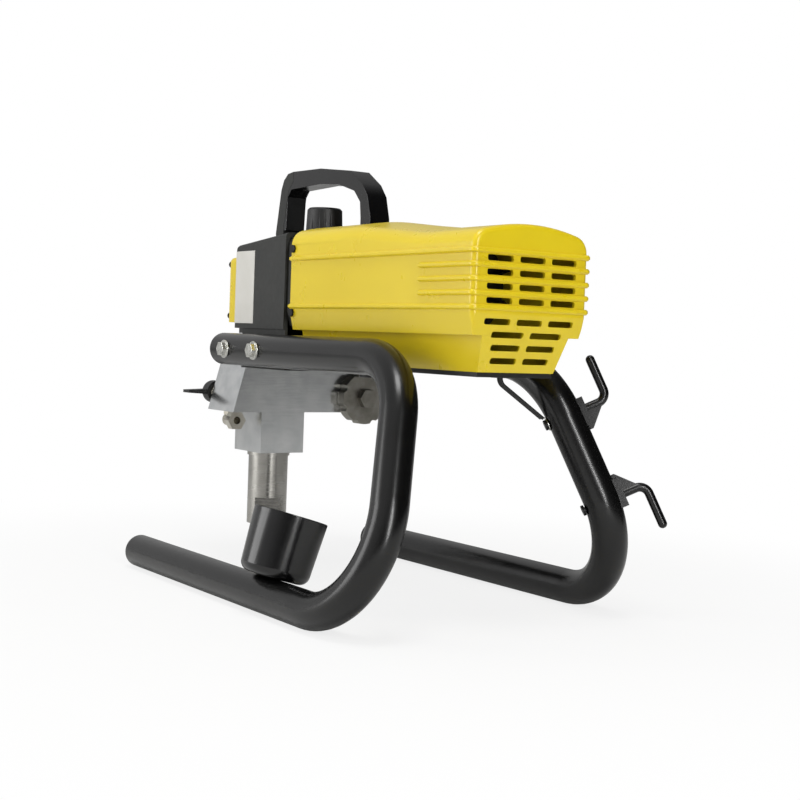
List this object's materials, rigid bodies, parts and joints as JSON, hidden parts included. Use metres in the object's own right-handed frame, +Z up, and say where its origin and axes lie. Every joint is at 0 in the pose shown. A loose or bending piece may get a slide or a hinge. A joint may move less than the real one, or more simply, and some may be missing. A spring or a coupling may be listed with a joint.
{
  "type": "airless paint sprayer",
  "caption": "Airless paint sprayer on a tubular skid stand, with motor shroud, gear housing and handle, piston pump block, filter, prime valve and drip cup.",
  "frame": {"origin": "on the floor under the centre of the whole machine", "axes": "+Z up, +Y towards the vented rear of the motor shroud, +X towards the side with the drip cup"},
  "size_m": [0.3243, 0.4887, 0.4095],
  "materials": {
    "coated_tube": "semi-gloss powder coat",
    "black_moulding": "moulded",
    "gloss_black_moulding": "glossy moulded",
    "cast_housing": "matte grey paint on a die casting",
    "yellow_moulding": "glossy moulded ABS",
    "zinc_steel": "zinc plated",
    "black_screws": "black oxide",
    "milled_aluminium": "milled",
    "stainless": "turned",
    "chromed": "polished",
    "iron": "bare or painted iron",
    "brass_and_copper": "turned",
    "packing": "moulded",
    "blank_label": "satin film",
    "cable_rubber": "satin",
    "circuit_board": "coated"
  },
  "bodies": {
    "frame": {"ball_guide": "stainless", "belly_pan": "black_moulding", "bonding_lead": "cable_rubber", "brushes": "brass_and_copper", "control_board": "circuit_board", "crank_bearings": "stainless", "cylinder_sleeve": "chromed", "drip_cup": "gloss_black_moulding", "field_magnets": "iron", "filter_cap": "stainless", "filter_element": "stainless", "front_cover": "yellow_moulding", "front_cover_screws": "black_screws", "gear_housing": "cast_housing", "handle_grip": "gloss_black_moulding", "handle_screw": "black_screws", "inlet_housing": "stainless", "inlet_seat": "stainless", "intermediate_shaft": "stainless", "label_plate": "blank_label", "lead_clip": "zinc_steel", "left_leg": "coated_tube", "leg_bolts": "zinc_steel", "lower_hook": "coated_tube", "mains_gland": "black_moulding", "motor_adapter": "cast_housing", "motor_bearings": "stainless", "motor_can": "iron", "motor_end_bell": "milled_aluminium", "motor_front_plate": "milled_aluminium", "motor_shroud": "yellow_moulding", "outlet_fitting": "stainless", "packing_nut": "zinc_steel", "potentiometer": "black_moulding", "pressure_transducer": "stainless", "prime_valve_body": "brass_and_copper", "pump_block": "milled_aluminium", "pump_jam_nut": "zinc_steel", "return_fitting": "chromed", "right_leg": "coated_tube", "shroud_screws": "black_screws", "stand_screws": "black_screws", "switch_body": "black_moulding", "tube_end_plugs": "black_moulding", "upper_hook": "coated_tube", "upper_packings": "packing"},
    "rotor": {"rotor_shaft": "stainless", "armature": "iron", "commutator": "brass_and_copper", "cooling_fan": "black_moulding"},
    "lay_gear": {"intermediate_gear": "stainless"},
    "crank": {"crankshaft": "stainless"},
    "piston": {"slider_yoke": "stainless", "piston_rod": "stainless", "piston_seals": "packing"},
    "outlet_valve_ball": {"outlet_ball": "stainless"},
    "inlet_valve_ball": {"inlet_ball": "stainless"},
    "knob": {"pressure_knob": "black_moulding"},
    "prime_handle": {"prime_lever": "black_moulding"},
    "rocker": {"switch_rocker": "black_moulding"}
  },
  "joints": [
    {"name": "rotor_spin", "type": "hinge", "parent": "frame", "child": "rotor", "pos_m": [-0.0023, 0.0372, 0.29], "axis": [0, 1, 0], "continuous": true},
    {"name": "lay_gear_spin", "type": "hinge", "parent": "frame", "child": "lay_gear", "pos_m": [0.0197, -0.0728, 0.2696], "axis": [0, 1, 0], "continuous": true},
    {"name": "crank_spin", "type": "hinge", "parent": "frame", "child": "crank", "pos_m": [-0.0023, -0.1228, 0.29], "axis": [0, 1, 0], "continuous": true},
    {"name": "piston_stroke", "type": "slide", "parent": "frame", "child": "piston", "axis": [0, 0, 1], "range_m": [0, 0.025]},
    {"name": "outlet_ball_lift", "type": "slide", "parent": "piston", "child": "outlet_valve_ball", "axis": [0, 0, 1], "range_m": [0, 0.003]},
    {"name": "inlet_ball_lift", "type": "slide", "parent": "frame", "child": "inlet_valve_ball", "axis": [0, 0, 1], "range_m": [0, 0.003]},
    {"name": "pressure_turn", "type": "hinge", "parent": "frame", "child": "knob", "pos_m": [-0.0023, -0.0938, 0.355], "axis": [0, 0, 1], "range_deg": [0, 270]},
    {"name": "prime_turn", "type": "hinge", "parent": "frame", "child": "prime_handle", "pos_m": [0.0437, -0.2328, 0.178], "axis": [0, 1, 0], "range_deg": [0, 90]},
    {"name": "switch_rock", "type": "hinge", "parent": "frame", "child": "rocker", "pos_m": [-0.0627, -0.0028, 0.296], "axis": [0, 0, -1], "range_deg": [0, 18]}
  ],
  "couplings": [
    {"joint": "lay_gear_spin", "follows": "rotor_spin", "ratio": -0.2},
    {"joint": "crank_spin", "follows": "rotor_spin", "ratio": 0.052632}
  ]
}
